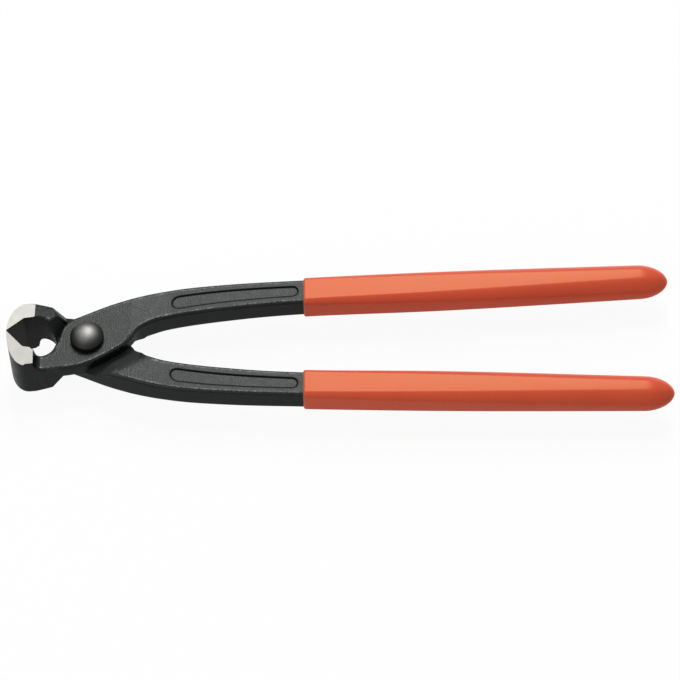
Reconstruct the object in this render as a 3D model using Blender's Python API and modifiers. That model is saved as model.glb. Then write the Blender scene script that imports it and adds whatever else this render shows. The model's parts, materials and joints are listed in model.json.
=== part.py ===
"""Rebar tying pliers: two crossed forged levers on a riveted lap joint, with dipped grips.

Lengths are in metres. A lever is drawn in plan about the pivot, jaws towards -X and handles
towards +X. Both levers are one shape: the second is the first turned half a turn about X, so
the plate on the upper side of one lies on the plate on the lower side of the other.
"""

import math

import bmesh
import bpy
from mathutils import Matrix, Vector

# Reach of the tool from the pivot
JAW_REACH = 0.0264  # to the cutting edge
HANDLE_REACH = 0.1936  # to the nose of a grip

# Jaw
JAW_WIDTH = 0.0209  # length of the cutting edge, across the tool
JAW_SPAN = 0.0123  # from the pivot line to the back of a jaw
JAW_SLOPE = math.radians(11.8)  # of the side faces, which fall away from the cutting edge
JAW_NOSE = 0.0065  # reach of the rounded nose along the tool
EDGE_BEVEL = 0.0055  # of the inner bevel along the tool, standing at 45 degrees
EDGE_GAP = 0.0003  # between the closed cutting edges
GROUND_LENGTH = 0.0090  # of the ground side faces, from the cutting edge back
STEP_RUN = 0.0005  # of the step's wall from the ground face down to its fillet
STEP_FILLET = 0.0022  # between that wall and the plate
FACET_LENGTH = 0.0060  # of the sloping facet behind the ground face on the lap side
FACET_DROP = 0.0016
HEEL_LENGTH = 0.0032  # straight back of the jaw behind the ground face
HEEL_ROUND = 0.0030  # of the ground face's corner at the back of the jaw, on the plate side
HEEL_RUN = 0.0030  # length over which that rounding grows
THROAT_LENGTH = 0.0057  # of the hole behind the cutting edges, from its middle to its end
THROAT_HEIGHT = 0.00495  # of the same, across the tool
THROAT_OFFSET = 0.0014  # of the hole's middle from the pivot line
THROAT_WALL = 0.0011  # from the boss to the throat
THROAT_TURN = (math.radians(-112), math.radians(-12))  # sweep of the throat's round
THROAT_ROUND = 0.0011  # of the ground face's corner at the throat, on the plate side
THROAT_RUN = 0.0012  # length over which that rounding grows

# Lap joint
PLATE_THICKNESS = 0.0046
LAP_GAP = 0.0003  # between the two plates
BOSS_RADIUS = 0.0096  # round end of a plate, about the pivot
BOSS_TURN = (math.radians(178), math.radians(118))  # sweep of that round
PLATE_EDGE = 0.0084  # from the pivot to the plate's straight edge
PLATE_LEAN = math.radians(29)  # of that edge to the pivot line
PLATE_AHEAD = 0.0070  # of the straight edge past the pivot's foot, towards the handle
PLATE_BEHIND = 0.0062  # towards the jaw
CROTCH_X = 0.0143  # where the lever's inner side crosses the pivot line
RECESS_CLEARANCE = 0.0013  # round the other lever's boss
RECESS_DRAFT = 0.37  # run of the recess wall per unit of depth
NOTCH_ANGLE = math.radians(124)  # end of the recess wall behind the jaw
RECESS_END = math.radians(150)  # where that wall meets the shoulder
SHOULDER_GAP = 0.0006  # from a plate's straight edge to the other shoulder, beside the crotch
SHOULDER_DRAFT = 1.15  # run of the shoulder ramp per unit of depth
SWING_GAP = 0.0034  # the same at the back of the jaw, where the plate's corner swings out
SWING_DRAFT = 0.48
SWING_START = 0.0035  # of the shoulder's wider stretch, from the pivot's foot towards the handle
SWING_END = 0.0040  # towards the jaw

# Rivet
SHANK_RADIUS = 0.0033
SHANK_CLEARANCE = 0.0001
HEAD_RADIUS = 0.0056
HEAD_SIDE = 0.0017  # height of the head's straight side
HEAD_DOME = 0.0026
HEAD_GAP = 0.0002  # under each head

# Handle centre line and width, from the neck to the end of the steel
SHOULDER_X = 0.0094  # bend of the outer side between boss and neck
SHOULDER_Y = 0.01455
BEND_X = 0.0180  # bend of the inner side between crotch and neck
BEND_Y = 0.00475
NECK_X = 0.0260
NECK_OFFSET = 0.0139
NECK_WIDTH = 0.0110
ARM_SHARE = 5 / 12  # place of the arm's middle on the way from the neck to the dip line
ARM_OFFSET = 0.0166
ARM_WIDTH = 0.0102
DIP_OFFSET = 0.01845
DIP_WIDTH = 0.0093
SWELL_BACK = 0.0484  # from the dip line to the swell of the grip
SWELL_OFFSET = 0.02005
SWELL_WIDTH = 0.0096
END_OFFSET = 0.0223
END_WIDTH = 0.0080
NECK_THICKNESS = 0.0083
END_THICKNESS = 0.0070
FORGED_ROUND = 0.0010  # on the long edges of the forging

# Sunk oval panel on both sides of an arm
PANEL_START = 0.0277
PANEL_END_GAP = 0.0016  # from the panel to the dip line
PANEL_WIDTH = 0.0050
PANEL_TAPER = 0.0010  # narrower at the grip end
PANEL_DEPTH = 0.00035

# Dipped grip
GRIP_LENGTH = 0.1220
GRIP_COAT = 0.0008
GRIP_CLEARANCE = 0.0001
GRIP_ROUND = 0.0019  # on the long edges of the coat
GRIP_LIP = 0.0004  # rounding of the front edge
NOSE_LENGTH = 0.0095

# Finishes: colour, roughness, metallic
FORGED_STEEL = ((0.035, 0.037, 0.037, 1.0), 0.45, 0.8)
RIVET_STEEL = ((0.10, 0.10, 0.10, 1.0), 0.28, 1.0)
GRIP_PLASTIC = ((0.62, 0.085, 0.03, 1.0), 0.35, 0.0)

# Places that follow from the sizes above
HALF_JAW = JAW_WIDTH / 2
HALF_LAP = LAP_GAP / 2
PLATE_TOP = HALF_LAP + PLATE_THICKNESS
GROUND_END = GROUND_LENGTH - JAW_REACH
FACET_END = GROUND_END + FACET_LENGTH
THROAT_DEPTH = THROAT_OFFSET + THROAT_HEIGHT
STEP_FOOT = GROUND_END + STEP_RUN + STEP_FILLET
GRIP_START = HANDLE_REACH - GRIP_LENGTH
STEEL_END = HANDLE_REACH - NOSE_LENGTH
ARM_X = NECK_X + ARM_SHARE * (GRIP_START - NECK_X)
CUT_REACH = 2 * (JAW_REACH + JAW_WIDTH)  # cutters reach this far from the pivot
PIVOT = Vector(((HANDLE_REACH - JAW_REACH) / -2, 0.0, HALF_JAW))
ROUND_SIDES = 48  # facets round the rivet and its bore
RIM_STEPS = 4  # facets across a rounded edge of the forging
CURVE_STEPS = 8  # facets from one point of a smooth outline to the next


def polar(radius, angle):
    return Vector((radius * math.cos(angle), radius * math.sin(angle)))


def arc(centre, radii, start, end, steps):
    """Points of an elliptical arc about centre, from one angle to another."""
    points = []
    for step in range(steps + 1):
        angle = start + (end - start) * step / steps
        points.append(centre + Vector((radii[0] * math.cos(angle), radii[1] * math.sin(angle))))
    return points


def smooth(points, steps):
    """A smooth curve through all the points, with that many steps from each to the next."""
    ends = [2 * points[0] - points[1]] + points + [2 * points[-1] - points[-2]]
    curve = [points[0]]
    for before, start, end, after in zip(ends, ends[1:], ends[2:], ends[3:]):
        leave = (end - before) / 2
        arrive = (after - start) / 2
        for step in range(1, steps + 1):
            t = step / steps
            bend = 3 * (end - start) - 2 * leave - arrive
            twist = 2 * (start - end) + leave + arrive
            curve.append(start + leave * t + bend * t**2 + twist * t**3)
    return curve


def between(points, x):
    """Straight-line value at x in a list of (x, value) that rises in x."""
    for (x0, value0), (x1, value1) in zip(points, points[1:]):
        if x <= x1:
            return value0 + (value1 - value0) * max(0.0, (x - x0) / (x1 - x0))
    return points[-1][1]


# Down the handle: place along the tool, offset of the centre line and width
STATIONS = [
    Vector((NECK_X, NECK_OFFSET, NECK_WIDTH)),
    Vector((ARM_X, ARM_OFFSET, ARM_WIDTH)),
    Vector((GRIP_START, DIP_OFFSET, DIP_WIDTH)),
    Vector((GRIP_START + SWELL_BACK, SWELL_OFFSET, SWELL_WIDTH)),
    Vector((STEEL_END, END_OFFSET, END_WIDTH)),
]
SECTIONS = smooth(STATIONS, CURVE_STEPS)
CENTRE_LINE = [(section.x, section.y) for section in SECTIONS]
WIDTHS = [(section.x, section.z) for section in SECTIONS]
HALF_THICKNESS = [(NECK_X, NECK_THICKNESS / 2), (STEEL_END, END_THICKNESS / 2)]


def plate_edge(distance, along):
    """Point of a line beside the plate's straight edge, at a distance from the pivot."""
    lie = Vector((math.cos(PLATE_LEAN), math.sin(PLATE_LEAN)))
    out = Vector((math.sin(PLATE_LEAN), -math.cos(PLATE_LEAN)))
    return distance * out + along * lie


def lever_outline():
    """Plan of a lever from its cutting edge by the throat, boss and handle to its nose."""
    edge = Vector((-JAW_REACH, -EDGE_GAP / 2))
    throat = Vector((-(BOSS_RADIUS + THROAT_WALL + THROAT_LENGTH), -THROAT_OFFSET))
    throat_radii = (THROAT_LENGTH, THROAT_HEIGHT)
    boss_radii = (BOSS_RADIUS, BOSS_RADIUS)
    boss = arc(Vector((0, 0)), boss_radii, *BOSS_TURN, 12)
    outer = [Vector((x, y + width / 2)) for x, y, width in STATIONS]
    inner = [Vector((x, y - width / 2)) for x, y, width in STATIONS]
    nose_centre = Vector((JAW_NOSE - JAW_REACH, -EDGE_GAP / 2))
    nose_radii = (JAW_NOSE, JAW_SPAN - EDGE_GAP / 2)
    plate = [plate_edge(PLATE_EDGE, PLATE_AHEAD), plate_edge(PLATE_EDGE, -PLATE_BEHIND)]
    heel = Vector((GROUND_END + HEEL_LENGTH, -JAW_SPAN))

    outline = [edge, edge + Vector((EDGE_BEVEL, -EDGE_BEVEL))]
    outline += arc(throat, throat_radii, *THROAT_TURN, 16)
    outline += boss[:-1]
    outline += smooth([boss[-1], Vector((SHOULDER_X, SHOULDER_Y))] + outer, CURVE_STEPS)
    bends = [Vector((BEND_X, BEND_Y)), Vector((CROTCH_X, 0))]
    outline += smooth(inner[::-1] + bends + plate + [heel], CURVE_STEPS)
    outline += arc(nose_centre, nose_radii, math.radians(270), math.radians(180), 18)[:-1]
    return outline


def upper_profile():
    """Height of the forging's plate side along the tool."""
    fillet = arc(
        Vector((STEP_FOOT, PLATE_TOP + STEP_FILLET)),
        (STEP_FILLET, STEP_FILLET),
        math.radians(190),
        math.radians(270),
        5,
    )
    profile = [(-JAW_REACH, HALF_JAW), (GROUND_END, HALF_JAW)]
    profile += [tuple(point) for point in fillet]
    return profile + [(CROTCH_X, PLATE_TOP)] + HALF_THICKNESS


def lower_profile():
    """Height of the forging's lap side along the tool, before the recess is cut."""
    return [
        (-JAW_REACH, -HALF_JAW),
        (GROUND_END, -HALF_JAW),
        (FACET_END, FACET_DROP - HALF_JAW),
        (0.0, -PLATE_TOP),
    ] + [(x, -half) for x, half in HALF_THICKNESS]


def rim_round(point, side):
    """Rounding of the forging's edges: none on the ground jaw, full from the step's foot on."""
    start, corner = GROUND_END - THROAT_RUN, THROAT_ROUND
    if point.y < -THROAT_DEPTH:
        start, corner = GROUND_END - HEEL_RUN, HEEL_ROUND
    if side < 0:
        start, corner = GROUND_END - FORGED_ROUND, 0.0
    return between([(start, 0.0), (GROUND_END, corner), (STEP_FOOT, FORGED_ROUND)], point.x)


def rim_ring(outline, angle, side):
    """The outline drawn in round its rim: at half height for 0, on the side face for a right angle.

    Heights are kept as a drop from 1 on the upper side and from -1 on the lower side.
    """
    ring = []
    for before, point, after in zip(outline[-1:] + outline, outline, outline[1:] + outline[:1]):
        ahead = (after - point).normalized()
        lie = (ahead + (point - before).normalized()).normalized()
        inset = rim_round(point, side) * (1 - math.cos(angle)) / lie.dot(ahead)
        drop = rim_round(point, side) * (1 - math.sin(angle))
        ring.append(Vector((point.x + inset * lie.y, point.y - inset * lie.x, side * (1 - drop))))
    return ring


def finish_mesh(shape, name):
    """Close a bmesh into a mesh whose faces all point out."""
    bmesh.ops.recalc_face_normals(shape, faces=shape.faces)
    mesh = bpy.data.meshes.new(name)
    shape.to_mesh(mesh)
    shape.free()
    return mesh


def skin(rings):
    """A closed bmesh over rings of as many points each, with flat ends."""
    shape = bmesh.new()
    loops = [[shape.verts.new(point) for point in ring] for ring in rings]
    for low, high in zip(loops, loops[1:]):
        for i in range(len(low)):
            shape.faces.new((low[i - 1], low[i], high[i], high[i - 1]))
    shape.faces.new(loops[0])
    shape.faces.new(loops[-1])
    return shape


def split(shape, place, normal):
    """Cut every face of a bmesh in two on the plane through a place."""
    everything = shape.verts[:] + shape.edges[:] + shape.faces[:]
    bmesh.ops.bisect_plane(shape, geom=everything, dist=1e-5, plane_co=place, plane_no=normal)


def loft(name, rings):
    return finish_mesh(skin(rings), name)


def forged_blank():
    """The lever's plan with rounded rims, set to its height along the tool."""
    outline = lever_outline()
    turns = [math.pi / 2 * step / RIM_STEPS for step in range(RIM_STEPS + 1)]
    rings = [rim_ring(outline, angle, 1) for angle in reversed(turns)]
    rings += [rim_ring(outline, angle, -1) for angle in turns]
    shape = skin(rings)
    bmesh.ops.remove_doubles(shape, verts=shape.verts, dist=1e-6)
    upper = upper_profile()
    lower = lower_profile()
    for x, _ in upper[1:-1] + lower[1:-1]:
        split(shape, (x, 0, 0), (1, 0, 0))
    fall = math.tan(JAW_SLOPE)
    upper_fall = [(GROUND_END, fall), (GROUND_END + STEP_RUN, 0.0)]
    lower_fall = [(FACET_END, fall), (0.0, 0.0)]
    for vert in shape.verts:
        x, y, side = vert.co
        away = abs(y) - EDGE_GAP / 2
        if side > 0:
            vert.co.z += between(upper, x) - between(upper_fall, x) * away - 1
        else:
            vert.co.z += between(lower, x) + between(lower_fall, x) * away + 1
    return finish_mesh(shape, "forged_blank")


def recess_ring(depth):
    """Plan of the lap recess, wider the deeper it is below the lap plane."""
    radius = BOSS_RADIUS + RECESS_CLEARANCE + RECESS_DRAFT * depth
    notch = 2 * math.pi - NOTCH_ANGLE - RECESS_DRAFT * depth / JAW_SPAN
    swing = PLATE_EDGE + SWING_GAP + SWING_DRAFT * depth
    shoulder = PLATE_EDGE + SHOULDER_GAP + SHOULDER_DRAFT * depth
    ramp = [
        plate_edge(swing, -JAW_REACH),
        plate_edge(swing, -SWING_END),
        plate_edge(shoulder, SWING_START),
        plate_edge(shoulder, JAW_REACH),
    ]
    ring = arc(Vector((0, 0)), (radius, radius), notch, RECESS_END, 16)
    ring += [Vector((point.x, -point.y)) for point in ramp]
    ring += [Vector((ramp[-1].x, -CUT_REACH)), polar(CUT_REACH, notch)]
    return [Vector((point.x, point.y, HALF_LAP - depth)) for point in ring]


def lap_recess():
    """The room for the other lever's plate, in four quarters so that the bore meets open faces."""
    shape = skin([recess_ring(0), recess_ring(JAW_WIDTH)])
    split(shape, (0, 0, 0), (1, 0, 0))
    split(shape, (0, 0, 0), (0, 1, 0))
    return finish_mesh(shape, "lap_recess")


def panel_ring(rise):
    """Plan of the oval panel, at a height above the arm's side face."""
    end = GRIP_START - PANEL_END_GAP
    round_start = PANEL_WIDTH / 2
    round_end = (PANEL_WIDTH - PANEL_TAPER) / 2
    start_x = PANEL_START + round_start
    end_x = end - round_end
    halves = [(start_x, round_start), (end_x, round_end)]
    run = [start_x + (end_x - start_x) * step / 8 for step in range(1, 8)]
    ring = arc(Vector((start_x, 0)), (round_start,) * 2, math.radians(270), math.radians(90), 10)
    ring += [Vector((x, between(halves, x))) for x in run]
    ring += arc(Vector((end_x, 0)), (round_end,) * 2, math.radians(90), math.radians(-90), 10)
    ring += [Vector((x, -between(halves, x))) for x in reversed(run)]
    solid = []
    for x, y in ring:
        solid.append(Vector((x, y + between(CENTRE_LINE, x), between(HALF_THICKNESS, x) + rise)))
    return solid


def mirrored(ring):
    return [Vector((x, y, -z)) for x, y, z in ring]


def grip_ring(x, grow, scale, corner):
    """Rounded section of the handle at x, grown all round and then scaled about its centre."""
    middle = between(CENTRE_LINE, x)
    half_y = between(WIDTHS, x) / 2 + grow - corner
    half_z = between(HALF_THICKNESS, x) + grow - corner
    ring = []
    for quarter, (side_y, side_z) in enumerate([(1, 1), (-1, 1), (-1, -1), (1, -1)]):
        start = quarter * math.pi / 2
        centre = Vector((side_y * half_y, side_z * half_z))
        for y, z in arc(centre, (corner, corner), start, start + math.pi / 2, 5):
            ring.append(Vector((x, middle + scale * y, scale * z)))
    return ring


def grip_mesh():
    """Coat of even thickness with a rounded lip in front and a bullet nose behind."""
    run = [x for x, _ in CENTRE_LINE if GRIP_START < x < STEEL_END]
    inner_round = FORGED_ROUND + GRIP_CLEARANCE
    cavity = [STEEL_END + GRIP_CLEARANCE] + run[::-1] + [GRIP_START]
    rings = [grip_ring(x, GRIP_CLEARANCE, 1.0, inner_round) for x in cavity]
    coat = GRIP_CLEARANCE + GRIP_COAT
    for x, y in arc(Vector((GRIP_LIP, coat - GRIP_LIP)), (GRIP_LIP,) * 2, math.pi, math.pi / 2, 3):
        rings.append(grip_ring(GRIP_START + x, y, 1.0, GRIP_ROUND))
    rings += [grip_ring(x, coat, 1.0, GRIP_ROUND) for x in run]
    for x, scale in arc(Vector((STEEL_END, 0)), (NOSE_LENGTH, 1.0), math.pi / 2, math.radians(6), 9):
        rings.append(grip_ring(x, coat, scale, GRIP_ROUND))
    rings[-1] = [Vector((HANDLE_REACH, y, z)) for _, y, z in rings[-1]]
    return loft("dipped_grip", rings)


def rivet_profile():
    """Half profile of the rivet, from the top of its upper dome to the bottom of its lower one."""
    ball = (HEAD_RADIUS**2 + HEAD_DOME**2) / (2 * HEAD_DOME)
    seat = PLATE_TOP + HEAD_GAP
    centre = Vector((0, seat + HEAD_SIDE + HEAD_DOME - ball))
    swing = math.asin(HEAD_RADIUS / ball)
    upper = arc(centre, (ball, ball), math.pi / 2, math.pi / 2 - swing, 8)
    upper[0].x = 0.0
    upper += [Vector((HEAD_RADIUS, seat)), Vector((SHANK_RADIUS, seat))]
    profile = upper + [Vector((radius, -height)) for radius, height in reversed(upper)]
    mesh = bpy.data.meshes.new("rivet_profile")
    points = [(radius, 0, height) for radius, height in profile]
    mesh.from_pydata(points, [(i, i + 1) for i in range(len(points) - 1)], [])
    return mesh


def bore():
    """The rivet hole, drilled through both sides."""
    shape = bmesh.new()
    radius = SHANK_RADIUS + SHANK_CLEARANCE
    bmesh.ops.create_cone(
        shape,
        cap_ends=True,
        segments=ROUND_SIDES,
        radius1=radius,
        radius2=radius,
        depth=CUT_REACH,
        matrix=Matrix.Rotation(math.pi / ROUND_SIDES, 4, "Z"),
    )
    return finish_mesh(shape, "rivet_bore")


def add_object(name, mesh, collection, parent=None):
    thing = bpy.data.objects.new(name, mesh)
    thing.parent = parent
    collection.objects.link(thing)
    return thing


def add_collection(name):
    collection = bpy.data.collections.new(name)
    bpy.context.scene.collection.children.link(collection)
    return collection


def cut(body, mesh, cutters):
    """Take a cutter's shape out of a body."""
    cutter = add_object(mesh.name, mesh, cutters)
    cutter.hide_render = True
    cutter.display_type = "WIRE"
    boolean = body.modifiers.new(mesh.name, "BOOLEAN")
    boolean.operation = "DIFFERENCE"
    boolean.solver = "EXACT"
    boolean.object = cutter


def lever_mesh(cutters):
    """The finished forging: recessed for the lap, drilled and panelled."""
    body = add_object("lever_forging", forged_blank(), cutters)
    body.hide_render = True
    body.display_type = "WIRE"
    cut(body, lap_recess(), cutters)
    cut(body, bore(), cutters)
    panel = [panel_ring(-PANEL_DEPTH), panel_ring(PLATE_THICKNESS)]
    cut(body, loft("panel_upper", panel), cutters)
    cut(body, loft("panel_lower", [mirrored(ring) for ring in panel]), cutters)
    evaluated = body.evaluated_get(bpy.context.evaluated_depsgraph_get())
    mesh = bpy.data.meshes.new_from_object(evaluated)
    mesh.name = "lever"
    return mesh


def add_material(thing, name, finish):
    colour, roughness, metallic = finish
    material = bpy.data.materials.new(name)
    material.use_nodes = True
    shader = material.node_tree.nodes["Principled BSDF"]
    shader.inputs["Base Color"].default_value = colour
    shader.inputs["Roughness"].default_value = roughness
    shader.inputs["Metallic"].default_value = metallic
    thing.material_slots[0].link = "OBJECT"
    thing.material_slots[0].material = material


def shade(mesh):
    mesh.materials.append(None)
    mesh.shade_smooth()
    mesh.set_sharp_from_angle(angle=math.radians(35))


def add_half(letter, turn, lever, grip, parts):
    """One lever and its grip, hung on the pivot and turned about the tool's length."""
    hinge = add_object("pivot_" + letter, None, parts)
    hinge.location = PIVOT
    hinge.rotation_euler.x = turn
    for name, mesh, finish in (("lever_", lever, FORGED_STEEL), ("grip_", grip, GRIP_PLASTIC)):
        thing = add_object(name + letter, mesh, parts, hinge)
        add_material(thing, name + letter, finish)


def main():
    for old in list(bpy.data.objects):
        bpy.data.objects.remove(old)
    parts = add_collection("rebar_tying_pliers")
    cutters = add_collection("cutters")
    lever = lever_mesh(cutters)
    grip = grip_mesh()
    profile = rivet_profile()
    for mesh in (lever, grip, profile):
        shade(mesh)
    add_half("a", 0.0, lever, grip, parts)
    add_half("b", math.pi, lever, grip, parts)
    rivet = add_object("pivot_rivet", profile, parts)
    rivet.location = PIVOT
    turn = rivet.modifiers.new("turned", "SCREW")
    turn.steps = ROUND_SIDES
    turn.render_steps = ROUND_SIDES
    turn.use_merge_vertices = True
    turn.merge_threshold = 1e-6
    add_material(rivet, "pivot_rivet", RIVET_STEEL)


main()
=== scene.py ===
"""Rebar tying pliers: black forged levers with ground jaws, a polished rivet and dipped grips.

Lengths are in metres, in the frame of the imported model: jaws towards -X, handles towards +X,
the rivet along Z.
"""

import json
import math

import bmesh
import bpy
from mathutils import Matrix, Vector
from mathutils.kdtree import KDTree


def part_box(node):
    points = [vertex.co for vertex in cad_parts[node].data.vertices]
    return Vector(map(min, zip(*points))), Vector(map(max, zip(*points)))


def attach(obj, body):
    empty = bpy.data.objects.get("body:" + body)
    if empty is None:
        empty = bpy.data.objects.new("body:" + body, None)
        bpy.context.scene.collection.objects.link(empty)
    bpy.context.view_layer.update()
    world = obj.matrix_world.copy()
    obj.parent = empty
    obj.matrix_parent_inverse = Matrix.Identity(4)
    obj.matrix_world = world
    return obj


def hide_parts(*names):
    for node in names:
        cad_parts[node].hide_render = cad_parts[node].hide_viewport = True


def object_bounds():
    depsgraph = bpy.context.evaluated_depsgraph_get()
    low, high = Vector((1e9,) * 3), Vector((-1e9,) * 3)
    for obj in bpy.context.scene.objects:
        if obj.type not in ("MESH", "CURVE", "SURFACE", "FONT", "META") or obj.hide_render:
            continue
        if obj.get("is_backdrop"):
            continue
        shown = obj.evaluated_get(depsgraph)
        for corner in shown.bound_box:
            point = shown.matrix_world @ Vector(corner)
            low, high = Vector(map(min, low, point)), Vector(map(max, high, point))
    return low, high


# Camera, aimed at a point beside the pivot
CAMERA_TURN = math.radians(1.8)  # round the tool, from the near handle's side
CAMERA_RISE = math.radians(56)
CAMERA_ROLL = math.radians(-2.45)
CAMERA_DISTANCE = 1.205
CAMERA_LENS = 191.8
CAMERA_SENSOR = 36.0
CAMERA_AIM = Vector((0.08378, 0.00097, 0))  # from the pivot

# Studio: place, width, height and power of the lamps, then the room and the floor
SOFT_BOX = (Vector((0.04, 0.94, 1.293)), 0.6, 1.15, 28.0)
FILL = (Vector((-0.45, -0.55, 0.55)), 0.6, 0.6, 2.6)
ROOM_LIGHT = 0.35  # strength of the room's light
ROOM_SEEN = 1.0  # strength of the room where it is seen
FLOOR_SIZE = 6.0
FLOOR_GAP = 0.0002  # under the jaws
FLOOR_GREY = (0.70, 0.70, 0.70, 1.0)
FLOOR_GLOW = 0.93  # share of plain white in the floor where it is seen

# Colours, in pairs for the darker and the lighter blotches
BLACK = ((0.0147, 0.0155, 0.0154), (0.0206, 0.0214, 0.0210))
RECESS_PAINTED_LIGHT = (0.034, 0.036, 0.036)
PAINTED_CORNER_SHADE = (0.003, 0.004, 0.004)
WORN_GREY_AND_HIGHLIGHT = (0.050, 0.050, 0.048)
STEEL = ((0.38, 0.379, 0.356), (0.47, 0.468, 0.441))
STEEL_CLOUD = (0.30, 0.299, 0.283)
RIVET = ((0.150, 0.148, 0.143), (0.190, 0.187, 0.180))
RIVET_RIM_PAINTED_SHADE = (0.020, 0.021, 0.020)
ORANGE = ((0.505, 0.065, 0.032), (0.525, 0.070, 0.034))

# Forged levers
SEAM = 0.000002  # points closer than this are one
FINEST_EDGE = 0.0014  # longest edge of the finished forging's mesh
SPLITS = 9  # most rounds of splitting the edges that are too long
CRISP_ANGLE = math.radians(34)  # edges that turn more are shaded crisp
GROUND_LENGTH = 0.0090  # of the ground side faces, from the cutting edge back
GROUND_LEAN = 0.93  # least share of a ground face's normal along the rivet
SLIVER = 1e-8  # faces smaller than this, in square metres, have no clear direction
RIM_TURN = (0.12, 0.3)  # turn of an edge where a rounded rim begins, in radians
RIM_LEVEL = 0.97  # least share of such an edge's normal along the rivet
RIM_REACH = 0.0006  # of the wear and painted highlight from that edge
CORNER_TURN = 0.9  # least turn of a panel's inner corner, in radians
CORNER_REACH = 0.0009  # of the painted shade from that corner
CORNER_EDGE = 0.0007  # longest edge beside it
SEED_STEP = 0.0002  # between the points that stand for an edge
PANEL_TURN = 1.2  # least turn of a panel's cut border, in radians
PANEL_START = 0.025  # of the stretch with the sunk panels, from the pivot
PANEL_LEVEL = 0.98  # least share, along the rivet, of the normal of a face beside that border
PANEL_CHAMFER = 0.00026
PANEL_STEPS = 2
RECESS_RADIUS = 0.018  # of the lap face with the ramps round it, about the pivot
RECESS_BLEND = 0.0012  # from their rough skin, lightened as painted light, to the smoother one beside them
RECESS_LIFT = 0.0004  # greatest height of the lap face over the joint's middle
RAMP_LEVEL = (0.3, 0.93)  # share of a ramp's normal along the rivet
RAMP_FACING = 0.2  # least share of a ramp's normal towards the pivot
SHOULDER_LEAN = math.radians(29)  # of the shoulder beside the lap joint to the tool's length
SHOULDER_EDGE = 0.0142  # from the pivot to the top of its ramp
SHOULDER_BLEND = 0.0036  # run of the rounding at the ramp's top, to each side
SHOULDER_DROP = 0.0008  # depth of that rounding
SHOULDER_FOOT = 0.0005  # height over the lap at which the rounding starts
SHOULDER_TOP = 0.0032  # height over the lap at which it is full

# Dipped grips
ROUND_FRONT = 0.33  # share of the half section taken by its round corner, at the front
ROUND_END = 0.75  # the same where the nose begins
ROUND_TIP = 0.96  # the same at the tip
CORNER_STEPS = 8
CORNER_PROFILE = 0.37  # flatter than a round
CORNER_CLEAR = 0.02  # share of the half section beside its middle that is in no corner
SAME_GROWTH = 0.0001  # corners that grow less than this stay as they are
COAT = 0.0008
SWELL = 0.19  # growth of the coat's section towards the nose, over that of the handle
FRONT_EDGE = 0.0008  # rounding at the front edge
FRONT_STEPS = 5
NOSE_LENGTH = 0.0097

# Rivet
RIVET_SIDES = 64
SHANK_RADIUS = 0.0033
HEAD_RADIUS = 0.0056
HEAD_SIDE = 0.0017
HEAD_DOME = 0.0026
DOME_STEPS = 14
PAINTED_DARK_RIM = (0.2, 0.9)  # shares of the head's radius between which it darkens, as painted shade standing in for darker surroundings reflected at the rim
RIVET_EDGE = 0.0003  # rounding at the rivet's edges
RIVET_EDGE_STEPS = 3
RIVET_EDGE_ANGLE = math.radians(35)  # least turn of the edges that are rounded


def deselect():
    for thing in bpy.context.selected_objects:
        thing.select_set(False)


def take(piece):
    """Make one piece the only one selected, and the active one."""
    deselect()
    piece.select_set(True)
    bpy.context.view_layer.objects.active = piece


def edit(piece):
    take(piece)
    bpy.ops.object.mode_set(mode="EDIT")


def done():
    bpy.ops.object.mode_set(mode="OBJECT")


def deselect_mesh(piece):
    edit(piece)
    bpy.ops.mesh.select_mode(type="VERT")
    bpy.ops.mesh.select_all(action="DESELECT")
    done()


def triangulate():
    """Turn the whole mesh into triangles, in edit mode."""
    bpy.ops.mesh.select_all(action="SELECT")
    bpy.ops.mesh.quads_convert_to_tris(quad_method="SHORTEST_DIAGONAL", ngon_method="BEAUTY")


def face_outwards():
    """Turn all normals out, in edit mode."""
    bpy.ops.mesh.select_all(action="SELECT")
    bpy.ops.mesh.normals_make_consistent(inside=False)


def name_piece(name):
    piece = bpy.context.active_object
    piece.name = name
    piece.data.name = name
    return piece


def apply_modifiers(piece):
    take(piece)
    for modifier in list(piece.modifiers):
        bpy.ops.object.modifier_apply(modifier=modifier.name)


def node_group(name, inputs, outputs):
    """An empty shader group with sockets for numbers, and its two end nodes."""
    group = bpy.data.node_groups.new(name, "ShaderNodeTree")
    for end, labels in (("INPUT", inputs), ("OUTPUT", outputs)):
        for label in labels:
            group.interface.new_socket(label, in_out=end, socket_type="NodeSocketFloat")
    return group, group.nodes.new("NodeGroupInput"), group.nodes.new("NodeGroupOutput")


def feed(tree, socket, value):
    """Link a socket to another node's output, or set it to a plain value."""
    if isinstance(value, bpy.types.NodeSocket):
        tree.links.new(value, socket)
    else:
        socket.default_value = value


def noise(tree, place, scale, detail, roughness=0.55):
    """A noise texture on Object coordinates; scale is in features per metre."""
    texture = tree.nodes.new("ShaderNodeTexNoise")
    tree.links.new(place, texture.inputs["Vector"])
    feed(tree, texture.inputs["Scale"], scale)
    texture.inputs["Detail"].default_value = detail
    texture.inputs["Roughness"].default_value = roughness
    return texture.outputs["Fac"]


def maths(tree, operation, first, second):
    node = tree.nodes.new("ShaderNodeMath")
    node.operation = operation
    feed(tree, node.inputs[0], first)
    feed(tree, node.inputs[1], second)
    return node.outputs[0]


def vector_maths(tree, operation, *values):
    node = tree.nodes.new("ShaderNodeVectorMath")
    node.operation = operation
    for socket, value in zip(node.inputs, values):
        feed(tree, socket, value)
    return node.outputs


def fade(tree, value, low, high, from_value=0.0, to_value=1.0):
    """The value's run from low to high, spread smoothly over another run."""
    node = tree.nodes.new("ShaderNodeMapRange")
    node.interpolation_type = "SMOOTHSTEP"
    labels = ("Value", "From Min", "From Max", "To Min", "To Max")
    for label, number in zip(labels, (value, low, high, from_value, to_value)):
        feed(tree, node.inputs[label], number)
    return node.outputs["Result"]


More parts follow.
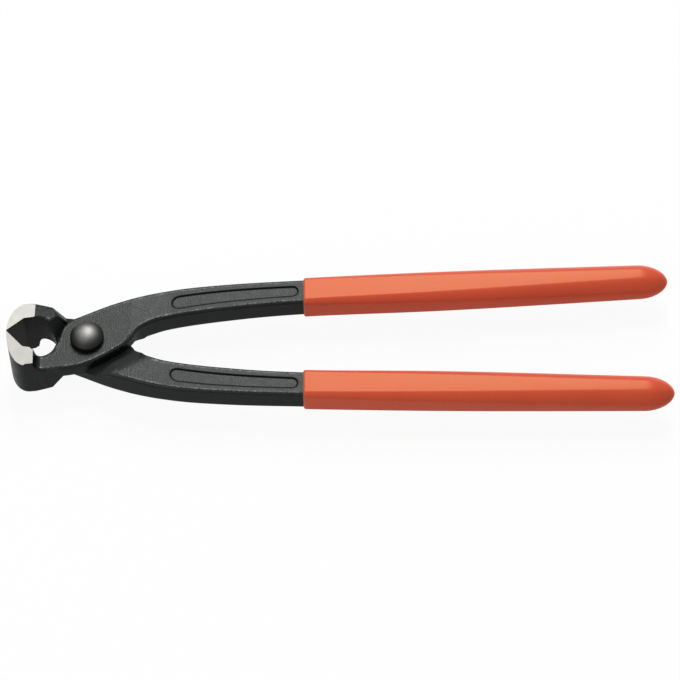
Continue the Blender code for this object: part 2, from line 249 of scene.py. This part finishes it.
def blend_colours(tree, factor, first, second):
    node = tree.nodes.new("ShaderNodeMix")
    node.data_type = "RGBA"
    tree.links.new(factor, node.inputs["Factor"])
    for label, colour in (("A", first), ("B", second)):
        ends = [end for end in node.inputs if end.name == label and end.type == "RGBA"]
        feed(tree, ends[0], colour + (1.0,) if isinstance(colour, tuple) else colour)
    return [end for end in node.outputs if end.type == "RGBA"][0]


def object_place(tree):
    return tree.nodes.new("ShaderNodeTexCoord").outputs["Object"]


def kept_value(tree, name):
    """A value that is kept on the points of the piece."""
    node = tree.nodes.new("ShaderNodeAttribute")
    node.attribute_name = name
    return node.outputs["Fac"]


def surface_mottle():
    """Blotches with a fine speckle in them, for colour and for bump."""
    settings = ("Blotches", "Speckle", "Share")
    group, given, result = node_group("surface_mottle", settings, ("Mask", "Height"))
    place = object_place(group)
    blotches = noise(group, place, given.outputs["Blotches"], 3)
    speckle = noise(group, place, given.outputs["Speckle"], 2, 0.7)
    fine = maths(group, "MULTIPLY", speckle, given.outputs["Share"])
    rest = maths(group, "SUBTRACT", 1.0, given.outputs["Share"])
    coarse = maths(group, "MULTIPLY", blotches, rest)
    both = maths(group, "ADD", fine, coarse)
    group.links.new(fade(group, both, 0.35, 0.65), result.inputs["Mask"])
    group.links.new(both, result.inputs["Height"])
    return group


def rim_wear_and_highlight():
    """Light scuffs along the rims, part wear and part painted highlight, broken up by noise."""
    group, given, result = node_group("rim_wear_and_highlight", ("Start", "Full", "Break"), ("Mask",))
    edge = fade(group, kept_value(group, "rim"), given.outputs["Start"], given.outputs["Full"])
    scuff = noise(group, object_place(group), given.outputs["Break"], 4, 0.65)
    gaps = fade(group, scuff, 0.36, 0.66)
    group.links.new(maths(group, "MULTIPLY", edge, gaps), result.inputs["Mask"])
    return group


def use_group(tree, group, **values):
    node = tree.nodes.new("ShaderNodeGroup")
    node.node_tree = group
    for label, value in values.items():
        node.inputs[label].default_value = value
    return node.outputs


def new_material(name):
    material = bpy.data.materials.new(name)
    material.use_nodes = True
    return material, material.node_tree, material.node_tree.nodes["Principled BSDF"]


def bump(tree, shader, height, distance, strength):
    node = tree.nodes.new("ShaderNodeBump")
    node.inputs["Distance"].default_value = distance
    node.inputs["Strength"].default_value = strength
    tree.links.new(height, node.inputs["Height"])
    tree.links.new(node.outputs["Normal"], shader.inputs["Normal"])


def forged_black(mottle, wear_and_highlight):
    """Black oxide on forged steel: mottled, with a dull sheen, lighter on its rims from wear and
    a painted highlight, with painted shade in the panels' corners and painted light on the lap
    recess.
    """
    material, tree, shader = new_material("forged_black")
    skin = use_group(tree, mottle, Blotches=360.0, Speckle=1900.0, Share=0.6)
    worn_and_lit = use_group(tree, wear_and_highlight, Start=0.35, Full=0.95, Break=900.0)["Mask"]
    # Painted shade: the sunk panels' inner corners are darkened and made rougher, standing in for
    # the shade that falls there
    corner = fade(tree, kept_value(tree, "corner"), 0.3, 0.65, 0.0, 0.7)
    # Painted light: the lap face and its ramps are coloured a lighter grey, standing in for light
    # on the ramp that lies in the plate's shadow; they are also rougher
    recess = fade(tree, kept_value(tree, "recess"), 0.0, 1.0, 0.0, 0.9)
    colour = blend_colours(tree, skin["Mask"], *BLACK)
    colour = blend_colours(tree, recess, colour, RECESS_PAINTED_LIGHT)
    colour = blend_colours(tree, corner, colour, PAINTED_CORNER_SHADE)
    # Part wear and part painted highlight: a broken lighter line along the top rims
    colour = blend_colours(tree, worn_and_lit, colour, WORN_GREY_AND_HIGHLIGHT)
    tree.links.new(colour, shader.inputs["Base Color"])
    satin = fade(tree, skin["Mask"], 0.0, 1.0, 0.29, 0.43)
    rough = maths(tree, "MAXIMUM", corner, recess)
    tree.links.new(maths(tree, "MAXIMUM", satin, rough), shader.inputs["Roughness"])
    shader.inputs["Metallic"].default_value = 0.8
    shader.inputs["Specular IOR Level"].default_value = 0.14
    shader.inputs["Specular Tint"].default_value = (0.6, 0.6, 0.6, 1.0)
    bump(tree, shader, skin["Height"], distance=0.0002, strength=0.8)
    return material


def ground_steel(mottle):
    """Bare ground steel: bright warm grey with fine wheel marks across the jaw."""
    material, tree, shader = new_material("ground_steel")
    stretch = tree.nodes.new("ShaderNodeMapping")
    stretch.inputs["Scale"].default_value = (1.0, 0.06, 0.06)
    tree.links.new(object_place(tree), stretch.inputs["Vector"])
    marks = noise(tree, stretch.outputs["Vector"], 5200.0, 3, 0.7)
    cloud = use_group(tree, mottle, Blotches=260.0, Speckle=1900.0, Share=0.3)
    colour = blend_colours(tree, fade(tree, marks, 0.3, 0.7), *STEEL)
    thin_cloud = maths(tree, "MULTIPLY", cloud["Mask"], 0.25)
    colour = blend_colours(tree, thin_cloud, colour, STEEL_CLOUD)
    tree.links.new(colour, shader.inputs["Base Color"])
    tree.links.new(fade(tree, marks, 0.3, 0.7, 0.70, 0.80), shader.inputs["Roughness"])
    shader.inputs["Metallic"].default_value = 1.0
    bump(tree, shader, marks, distance=0.00004, strength=0.35)
    return material


def polished_rivet(mottle):
    """Dark polished steel with faint handling marks, darkened towards the head's rim as painted
    shade.
    """
    material, tree, shader = new_material("polished_rivet")
    skin = use_group(tree, mottle, Blotches=600.0, Speckle=4200.0, Share=0.5)
    colour = blend_colours(tree, skin["Mask"], *RIVET)
    # Painted shade: the colour darkens towards the head's rim, standing in for the darker
    # surroundings reflected there
    beside = vector_maths(tree, "SUBTRACT", object_place(tree), PIVOT)["Vector"]
    flat = vector_maths(tree, "MULTIPLY", beside, (1.0, 1.0, 0.0))["Vector"]
    reach = vector_maths(tree, "LENGTH", flat)["Value"]
    start, end = [share * HEAD_RADIUS for share in PAINTED_DARK_RIM]
    colour = blend_colours(tree, fade(tree, reach, start, end), colour, RIVET_RIM_PAINTED_SHADE)
    tree.links.new(colour, shader.inputs["Base Color"])
    tree.links.new(fade(tree, skin["Mask"], 0.0, 1.0, 0.48, 0.54), shader.inputs["Roughness"])
    shader.inputs["Metallic"].default_value = 1.0
    bump(tree, shader, skin["Height"], distance=0.00003, strength=0.3)
    return material


def dipped_plastic(mottle):
    """Glossy orange-red dipped coat with a faint orange peel."""
    material, tree, shader = new_material("dipped_plastic")
    skin = use_group(tree, mottle, Blotches=70.0, Speckle=700.0, Share=0.35)
    colour = blend_colours(tree, skin["Mask"], *ORANGE)
    tree.links.new(colour, shader.inputs["Base Color"])
    tree.links.new(fade(tree, skin["Mask"], 0.0, 1.0, 0.29, 0.32), shader.inputs["Roughness"])
    shader.inputs["Specular IOR Level"].default_value = 0.16
    shader.inputs["Specular Tint"].default_value = (1.0, 0.95, 0.45, 1.0)
    bump(tree, shader, skin["Height"], distance=0.00010, strength=0.08)
    return material


def copy_node(node, name):
    """A merged copy of a CAD node, ready to be worked on."""
    take(frame["nodes"][node])
    bpy.ops.object.duplicate()
    piece = name_piece(name)
    for key in list(piece.keys()):
        del piece[key]
    piece.parent = None
    edit(piece)
    bpy.ops.mesh.select_all(action="SELECT")
    bpy.ops.mesh.remove_doubles(threshold=SEAM)
    bpy.ops.mesh.customdata_custom_splitnormals_clear()
    done()
    return piece


def split_edges(piece, too_long):
    """Split the edges that are too long, round by round until none is left."""
    for _ in range(SPLITS):
        deselect_mesh(piece)
        points = piece.data.vertices
        found = False
        for line in piece.data.edges:
            start, end = [points[index].co for index in line.vertices]
            if too_long(start, end):
                line.select = True
                found = True
        if not found:
            break
        edit(piece)
        bpy.ops.mesh.select_mode(type="EDGE")
        bpy.ops.mesh.subdivide(number_cuts=1)
        triangulate()
        done()


def refine(piece, corners):
    """Make the bare steel's mesh fine enough to carry wear, painted highlights and painted shade,
    and to shade evenly.
    """
    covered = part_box("grip_a")[0][0] + FINEST_EDGE
    panels = PIVOT.x + PANEL_START
    borders = seed_tree(corners)

    def too_long(start, end):
        length = (end - start).length
        if length > FINEST_EDGE:
            return min(start.x, end.x) < covered
        if length < CORNER_EDGE or start.x < panels:
            return False
        return borders.find((start + end) / 2)[2] < CORNER_REACH

    split_edges(piece, too_long)


def points_along(line):
    start, end = [point.co for point in line.verts]
    steps = math.ceil((end - start).length / SEED_STEP)
    return [start.lerp(end, step / steps) for step in range(steps + 1)]


def seed_tree(seeds):
    tree = KDTree(len(seeds))
    for index, seed in enumerate(seeds):
        tree.insert(seed, index)
    tree.balance()
    return tree


def keep_nearness(piece, name, seeds, reach):
    """Keep on each point how near the seeds are: 1 on them, 0 from the reach on."""
    tree = seed_tree(seeds)
    values = [max(0.0, 1 - tree.find(point.co)[2] / reach) for point in piece.data.vertices]
    layer = piece.data.attributes.new(name, "FLOAT", "POINT")
    layer.data.foreach_set("value", values)


def edge_points(piece, wanted):
    """Points along the edges that are wanted for their turn and their normal's share along Z."""
    shape = bmesh.new()
    shape.from_mesh(piece.data)
    found = []
    for line in shape.edges:
        if min(face.calc_area() for face in line.link_faces) < SLIVER:
            continue
        turn = line.calc_face_angle_signed(0.0)
        level = abs(sum((face.normal for face in line.link_faces), Vector()).normalized().z)
        if wanted(turn, level):
            found += points_along(line)
    shape.free()
    return found


def rim_points(piece):
    low, high = RIM_TURN
    return edge_points(piece, lambda turn, level: low < turn < high and level > RIM_LEVEL)


def corner_points(piece):
    """Points along the inner corners of the sunk panels."""
    found = edge_points(piece, lambda turn, level: turn < -CORNER_TURN)
    return [point for point in found if point.x > PIVOT.x + PANEL_START]


def recess_points(piece, side):
    """Points of the lap face and of the ramps that rise from it."""
    steepest, flattest = RAMP_LEVEL
    found = []
    for point in piece.data.vertices:
        away = point.co - PIVOT
        height = -side * away.z
        away.z = 0
        up = -side * point.normal.z
        ramp = up < flattest and -away.dot(point.normal) > RAMP_FACING * away.length
        if away.length < RECESS_RADIUS and up > steepest and (height < RECESS_LIFT or ramp):
            found.append(point.co)
    return found


def shade(piece):
    take(piece)
    bpy.ops.object.shade_smooth_by_angle(angle=CRISP_ANGLE)
    weigh = piece.modifiers.new("weigh", "WEIGHTED_NORMAL")
    weigh.keep_sharp = True
    apply_modifiers(piece)


def chamfer_panels(piece):
    """Break the borders of the sunk panels on both sides of the arm."""
    deselect_mesh(piece)
    edit(piece)
    bpy.ops.mesh.select_mode(type="EDGE")
    start = PIVOT.x + PANEL_START
    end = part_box("grip_a")[0][0]
    for line in bmesh.from_edit_mesh(piece.data).edges:
        level = max(abs(face.normal.z) for face in line.link_faces)
        inside = all(start < point.co.x < end for point in line.verts)
        turn = line.calc_face_angle_signed(0.0)
        line.select_set(inside and level > PANEL_LEVEL and turn > PANEL_TURN)
    bpy.ops.mesh.bevel(
        offset=PANEL_CHAMFER, segments=PANEL_STEPS, affect="EDGES", clamp_overlap=True
    )
    triangulate()
    done()


def soften_shoulder(piece, side):
    """Round off the top of the ramp beside the lap joint, as a forging die leaves it."""
    out = Vector((math.sin(SHOULDER_LEAN), side * math.cos(SHOULDER_LEAN), 0))
    for point in piece.data.vertices:
        away = point.co - PIVOT
        near = 1 - abs(away.dot(out) - SHOULDER_EDGE) / SHOULDER_BLEND
        height = (-side * away.z - SHOULDER_FOOT) / (SHOULDER_TOP - SHOULDER_FOOT)
        if near > 0 and height > 0:
            point.co.z += side * SHOULDER_DROP * near**2 * min(height, 1.0)


def grind_jaw(piece):
    """Give the jaw's side faces the piece's second material."""
    deselect_mesh(piece)
    ground_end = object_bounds()[0][0] + GROUND_LENGTH
    for face in piece.data.polygons:
        face.select = face.center.x < ground_end and abs(face.normal.z) > GROUND_LEAN
        face.material_index = 0
    edit(piece)
    bpy.ops.mesh.select_mode(type="FACE")
    piece.active_material_index = 1
    bpy.ops.object.material_slot_assign()
    done()


def forging(node, name, side, black, bright):
    """A lever with fine, evenly shaded faces and its jaw's side faces ground bright."""
    piece = copy_node(node, name)
    chamfer_panels(piece)
    rims = rim_points(piece)
    corners = corner_points(piece)
    refine(piece, corners)
    soften_shoulder(piece, side)
    keep_nearness(piece, "rim", rims, RIM_REACH)
    keep_nearness(piece, "corner", corners, CORNER_REACH)
    keep_nearness(piece, "recess", recess_points(piece, side), RECESS_BLEND)
    piece.data.materials.clear()
    piece.data.materials.append(black)
    piece.data.materials.append(bright)
    grind_jaw(piece)
    shade(piece)
    return piece


def grip_rings():
    """Middle and half sizes of the coat along grip_a, from its nose to its front edge."""
    points_at = {}
    for point in frame["nodes"]["grip_a"].data.vertices:
        points_at.setdefault(round(point.co.x, 6), []).append(point.co)
    front = min(points_at)
    rings = []
    for x in sorted(points_at, reverse=True):
        low = [min(point[axis] for point in points_at[x]) for axis in (1, 2)]
        high = [max(point[axis] for point in points_at[x]) for axis in (1, 2)]
        middle = Vector((x, (low[0] + high[0]) / 2, (low[1] + high[1]) / 2))
        half = Vector(((high[0] - low[0]) / 2, (high[1] - low[1]) / 2))
        # Rings that narrow towards the front lie inside the coat
        if not rings or half.y >= rings[-1][1].y:
            rings.append((middle, half))
    return rings, front


def ring_points(piece):
    """The selected points, while the piece is in edit mode."""
    return [point for point in bmesh.from_edit_mesh(piece.data).verts if point.select]


def ring_box(piece):
    """Middle and half sizes of the selected points."""
    places = [point.co for point in ring_points(piece)]
    low = Vector([min(place[axis] for place in places) for axis in range(3)])
    high = Vector([max(place[axis] for place in places) for axis in range(3)])
    return (low + high) / 2, (high - low) / 2


def fit_ring(piece, middle, half):
    """Move and size the selected ring to a middle and half sizes across the tool."""
    now, size = ring_box(piece)
    stretch = (1.0, half[0] / size.y, half[1] / size.z)
    bpy.ops.transform.resize(value=stretch, center_override=now)
    bpy.ops.transform.translate(value=middle - now)


def round_corners(piece, middle, half, growth):
    """Grow the selected ring's round corners, each about the point where its flats would meet."""
    ring = ring_points(piece)
    for up in (1, -1):
        for out in (1, -1):
            corner = middle + Vector((0, out * half[0], up * half[1]))
            bpy.ops.mesh.select_mode(type="VERT")
            bpy.ops.mesh.select_all(action="DESELECT")
            for point in ring:
                away = point.co - middle
                beside = away.y * out > CORNER_CLEAR * half[0]
                point.select = beside and away.z * up > CORNER_CLEAR * half[1]
            bpy.ops.transform.resize(value=(1.0, growth, growth), center_override=corner)
    for point in ring:
        point.select = True
    bmesh.from_edit_mesh(piece.data).select_flush_mode()
    bpy.ops.mesh.select_mode(type="FACE")


def add_ring(piece, middle, half, growth):
    bpy.ops.mesh.extrude_region_move()
    fit_ring(piece, middle, half)
    if abs(growth - 1.0) > SAME_GROWTH:
        round_corners(piece, middle, half, growth)


def start_nose(name, tip):
    """A face across the grip with half sizes of 1 m and round corners, left in edit mode."""
    deselect()
    bpy.ops.mesh.primitive_plane_add(size=2.0, location=tip, rotation=(0, math.pi / 2, 0))
    piece = name_piece(name)
    bpy.ops.object.transform_apply(location=True, rotation=True, scale=True)
    edit(piece)
    bpy.ops.mesh.subdivide(number_cuts=1)
    bpy.ops.mesh.dissolve_faces()
    bpy.ops.mesh.select_mode(type="VERT")
    bpy.ops.mesh.select_all(action="DESELECT")
    for point in bmesh.from_edit_mesh(piece.data).verts:
        away = point.co - tip
        # Corners lie 1 m away to both sides, and the points between them to one side
        point.select = min(abs(away.y), abs(away.z)) > 0.9
    bpy.ops.mesh.bevel(
        offset=ROUND_TIP, segments=CORNER_STEPS, profile=CORNER_PROFILE, affect="VERTICES"
    )
    bpy.ops.mesh.select_mode(type="FACE")
    bpy.ops.mesh.select_all(action="SELECT")
    return piece


def dipped_grip(name, plastic):
    """The coat drawn out ring by ring from its nose, turned in at its front and back inside."""
    rings, front = grip_rings()
    tip, tip_half = rings[0]
    shoulder = tip.x - NOSE_LENGTH
    piece = start_nose(name, tip)
    fit_ring(piece, tip, tip_half * (1 + SWELL))
    roundness = ROUND_TIP
    rings[-1][0].x = front + FRONT_EDGE
    for middle, half in rings[1:]:
        if middle.x > shoulder:
            share = math.sqrt((tip.x - middle.x) / NOSE_LENGTH)
            wanted = ROUND_TIP + (ROUND_END - ROUND_TIP) * share
            swell = 1 + SWELL
        else:
            share = (middle.x - front) / (shoulder - front)
            wanted = ROUND_FRONT + (ROUND_END - ROUND_FRONT) * share
            swell = 1 + SWELL * share
        add_ring(piece, middle, half * swell, wanted / roundness)
        roundness = wanted
    edge, edge_half = rings[-1]
    for step in range(1, FRONT_STEPS + 1):
        angle = step / FRONT_STEPS * math.pi / 2
        place = Vector((front + FRONT_EDGE * (1 - math.sin(angle)), edge.y, edge.z))
        sink = FRONT_EDGE * (1 - math.cos(angle))
        add_ring(piece, place, [side - sink for side in edge_half], 1.0)
    for middle, half in reversed(rings[:-1]):
        if middle.x < shoulder:
            add_ring(piece, middle, [side - COAT for side in half], 1.0)
    face_outwards()
    done()
    piece.data.materials.append(plastic)
    shade(piece)
    return piece


def turned_copy(piece, name):
    """The same piece for the other lever: half a turn about the tool's length."""
    take(piece)
    bpy.ops.object.duplicate()
    copy = name_piece(name)
    half_turn = Matrix.Rotation(math.pi, 4, "X")
    copy.matrix_world = Matrix.Translation(PIVOT) @ half_turn @ Matrix.Translation(-PIVOT)
    bpy.ops.object.transform_apply(location=True, rotation=True, scale=True)
    return copy


def raise_dome(piece, side):
    """Draw one end of the shank out into a round head with a straight side and a dome."""
    shape = bmesh.from_edit_mesh(piece.data)
    end = max(shape.faces, key=lambda face: side * face.calc_center_median().z)
    bpy.ops.mesh.select_all(action="DESELECT")
    end.select = True
    bmesh.update_edit_mesh(piece.data)
    wide = HEAD_RADIUS / SHANK_RADIUS
    bpy.ops.mesh.extrude_region_move()
    bpy.ops.transform.resize(value=(wide, wide, 1.0), center_override=ring_box(piece)[0])
    bpy.ops.mesh.extrude_region_move(TRANSFORM_OT_translate={"value": (0, 0, side * HEAD_SIDE)})
    ball = (HEAD_RADIUS**2 + HEAD_DOME**2) / (2 * HEAD_DOME)
    swing = math.asin(HEAD_RADIUS / ball)
    radius = HEAD_RADIUS
    for step in range(1, DOME_STEPS):
        angle = swing * (1 - step / DOME_STEPS)
        smaller = ball * math.sin(angle)
        rise = ball * (math.cos(angle) - math.cos(swing * (1 - (step - 1) / DOME_STEPS)))
        bpy.ops.mesh.extrude_region_move(TRANSFORM_OT_translate={"value": (0, 0, side * rise)})
        share = smaller / radius
        bpy.ops.transform.resize(value=(share, share, 1.0), center_override=ring_box(piece)[0])
        radius = smaller
    top = ball * (1 - math.cos(swing / DOME_STEPS))
    bpy.ops.mesh.poke(offset=top)


def round_head_rivet(name, steel):
    """A solid rivet: its shank first, then a head drawn out at each end."""
    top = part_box("pivot_rivet")[1].z
    seat = top - PIVOT.z - HEAD_SIDE - HEAD_DOME
    deselect()
    bpy.ops.mesh.primitive_cylinder_add(
        vertices=RIVET_SIDES, radius=SHANK_RADIUS, depth=2 * seat, location=PIVOT
    )
    piece = name_piece(name)
    bpy.ops.object.transform_apply(location=True, rotation=True, scale=True)
    edit(piece)
    bpy.ops.mesh.select_mode(type="FACE")
    raise_dome(piece, 1)
    raise_dome(piece, -1)
    face_outwards()
    done()
    edges = piece.modifiers.new("edges", "BEVEL")
    edges.width = RIVET_EDGE
    edges.segments = RIVET_EDGE_STEPS
    edges.limit_method = "ANGLE"
    edges.angle_limit = RIVET_EDGE_ANGLE
    apply_modifiers(piece)
    piece.data.materials.append(steel)
    take(piece)
    bpy.ops.object.shade_smooth_by_angle(angle=CRISP_ANGLE)
    return piece


def add_camera():
    back = Vector(
        (
            math.sin(CAMERA_TURN) * math.cos(CAMERA_RISE),
            -math.cos(CAMERA_TURN) * math.cos(CAMERA_RISE),
            math.sin(CAMERA_RISE),
        )
    )
    level = Vector((math.cos(CAMERA_TURN), math.sin(CAMERA_TURN), 0))
    stand = back.cross(level)
    right = math.cos(CAMERA_ROLL) * level + math.sin(CAMERA_ROLL) * stand
    up = math.cos(CAMERA_ROLL) * stand - math.sin(CAMERA_ROLL) * level
    lens = bpy.data.cameras.new("photo_camera")
    lens.sensor_width = CAMERA_SENSOR
    lens.lens = CAMERA_LENS
    camera = bpy.data.objects.new("photo_camera", lens)
    bpy.context.scene.collection.objects.link(camera)
    place = Matrix((right, up, back)).transposed().to_4x4()
    place.translation = PIVOT + CAMERA_AIM + CAMERA_DISTANCE * back
    camera.matrix_world = place
    bpy.context.scene.camera = camera


def seen_directly(tree):
    """1 for what the camera sees, straight or in metal or glass, and 0 for other light."""
    path = tree.nodes.new("ShaderNodeLightPath")
    both = maths(tree, "MAXIMUM", path.outputs["Is Camera Ray"], path.outputs["Is Glossy Ray"])
    return maths(tree, "MAXIMUM", both, path.outputs["Is Transmission Ray"])


def light_studio():
    """A soft box high behind the tool, a weak fill from the camera's side and a pale room."""
    for name, (place, width, height, power) in (("soft_box", SOFT_BOX), ("fill", FILL)):
        lamp = bpy.data.lights.new(name, "AREA")
        lamp.shape = "RECTANGLE"
        lamp.size = width
        lamp.size_y = height
        lamp.energy = power
        lamp_object = bpy.data.objects.new(name, lamp)
        bpy.context.scene.collection.objects.link(lamp_object)
        lamp_object.location = place
        lamp_object.rotation_euler = (-place).to_track_quat("-Z", "Y").to_euler()
    world = bpy.data.worlds.new("pale_room")
    bpy.context.scene.world = world
    world.use_nodes = True
    tree = world.node_tree
    room = tree.nodes["Background"]
    room.inputs["Color"].default_value = (1.0, 1.0, 1.0, 1.0)
    strength = fade(tree, seen_directly(tree), 0.0, 1.0, ROOM_LIGHT, ROOM_SEEN)
    tree.links.new(strength, room.inputs["Strength"])


def lay_floor():
    """A plain white floor that keeps the tool's shadow."""
    deselect()
    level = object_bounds()[0][2] - FLOOR_GAP
    bpy.ops.mesh.primitive_plane_add(size=FLOOR_SIZE, location=(0, 0, level))
    floor = name_piece("floor")
    material, tree, shader = new_material("white_floor")
    shader.inputs["Base Color"].default_value = FLOOR_GREY
    shader.inputs["Roughness"].default_value = 0.9
    shader.inputs["Specular IOR Level"].default_value = 0.0
    white = tree.nodes.new("ShaderNodeEmission")
    mix = tree.nodes.new("ShaderNodeMixShader")
    glow = maths(tree, "MULTIPLY", seen_directly(tree), FLOOR_GLOW)
    tree.links.new(glow, mix.inputs["Fac"])
    tree.links.new(shader.outputs["BSDF"], mix.inputs[1])
    tree.links.new(white.outputs["Emission"], mix.inputs[2])
    output = tree.nodes["Material Output"]
    tree.links.new(mix.outputs["Shader"], output.inputs["Surface"])
    floor.data.materials.append(material)
    floor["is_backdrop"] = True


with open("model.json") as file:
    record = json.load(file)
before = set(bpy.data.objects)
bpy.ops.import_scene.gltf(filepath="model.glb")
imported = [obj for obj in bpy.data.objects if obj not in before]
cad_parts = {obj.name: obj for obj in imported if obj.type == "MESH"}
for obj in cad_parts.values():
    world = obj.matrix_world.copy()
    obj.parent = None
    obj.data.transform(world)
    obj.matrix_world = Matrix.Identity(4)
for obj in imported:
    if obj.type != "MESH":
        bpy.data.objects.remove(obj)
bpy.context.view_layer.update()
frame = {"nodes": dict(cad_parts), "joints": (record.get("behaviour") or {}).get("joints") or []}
PIVOT = Vector(frame["joints"][0]["pos_m"])

# A plain Blender starts with these
for old in ("Cube", "Light", "Camera"):
    if old in bpy.data.objects:
        bpy.data.objects.remove(bpy.data.objects[old])

bpy.context.scene.view_settings.view_transform = "Standard"
add_camera()
light_studio()
lay_floor()

mottle = surface_mottle()
wear_and_highlight = rim_wear_and_highlight()
black = forged_black(mottle, wear_and_highlight)
bright = ground_steel(mottle)
plastic = dipped_plastic(mottle)

forging_a = forging("lever_a", "forging_a", 1, black, bright)
forging_b = forging("lever_b", "forging_b", -1, black, bright)
rivet = round_head_rivet("round_head_rivet", polished_rivet(mottle))
dipped_a = dipped_grip("dipped_grip_a", plastic)
dipped_b = turned_copy(dipped_a, "dipped_grip_b")

for piece, node, body, slot in (
    (forging_a, "lever_a", "fixed_half", "forged_steel"),
    (forging_b, "lever_b", "turning_half", "forged_steel"),
    (rivet, "pivot_rivet", "fixed_half", "rivet_steel"),
    (dipped_a, "grip_a", "fixed_half", "dipped_plastic"),
    (dipped_b, "grip_b", "turning_half", "dipped_plastic"),
):
    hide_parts(node)
    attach(piece, body)

deselect()
